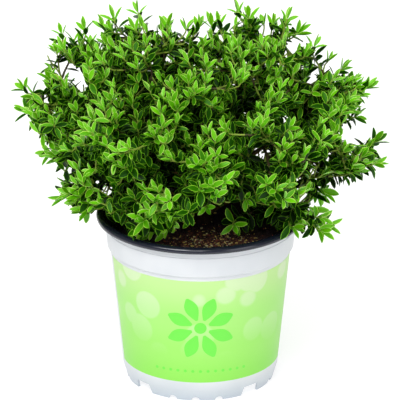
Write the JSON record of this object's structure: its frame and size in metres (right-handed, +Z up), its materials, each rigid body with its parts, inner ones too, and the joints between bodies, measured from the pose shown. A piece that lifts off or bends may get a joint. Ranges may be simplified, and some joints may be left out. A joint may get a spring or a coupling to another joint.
{
  "type": "potted hebe shrub",
  "caption": "Dome-shaped small-leaved evergreen shrub growing from a short stem in a soil-filled white plastic pot with a black rolled rim.",
  "frame": {"origin": "on the pot's axis, in the plane that the undersides of the pot's feet stand on", "axes": "+Z up; -Y is the front, where the soil shows below the crown; +X to the viewer's right"},
  "size_m": [0.3462, 0.3223, 0.3425],
  "materials": {
    "white_plastic": "satin",
    "black_plastic": "semi-gloss",
    "soil": "matt",
    "bark": "matt",
    "leaf_green": "satin"
  },
  "bodies": {
    "root": {"pot_shell": "white_plastic", "pot_rim": "black_plastic", "soil": "soil", "main_stem": "bark", "bough_top_left": "bark", "bough_top_right": "bark", "bough_upper_left": "bark", "bough_upper_right": "bark", "bough_upper_front_left": "bark", "bough_upper_front_right": "bark", "bough_upper_back_left": "bark", "bough_upper_back_right": "bark", "bough_left": "bark", "bough_right": "bark", "bough_front": "bark", "bough_low_left": "bark", "bough_low_front_left": "bark", "bough_low_front_right": "bark", "bough_low_back_left": "bark", "bough_low_back": "bark", "bough_low_back_right": "bark", "foliage_top_front": "leaf_green", "foliage_top_left": "leaf_green", "foliage_top_right": "leaf_green", "foliage_upper_left": "leaf_green", "foliage_upper_right": "leaf_green", "foliage_upper_front_left": "leaf_green", "foliage_upper_front_right": "leaf_green", "foliage_upper_back_left": "leaf_green", "foliage_upper_back_right": "leaf_green", "foliage_left": "leaf_green", "foliage_right": "leaf_green", "foliage_front": "leaf_green", "foliage_low_left": "leaf_green", "foliage_low_front_left": "leaf_green", "foliage_low_front_right": "leaf_green", "foliage_low_back_left": "leaf_green", "foliage_low_back": "leaf_green", "foliage_low_back_right": "leaf_green"}
  },
  "joints": []
}
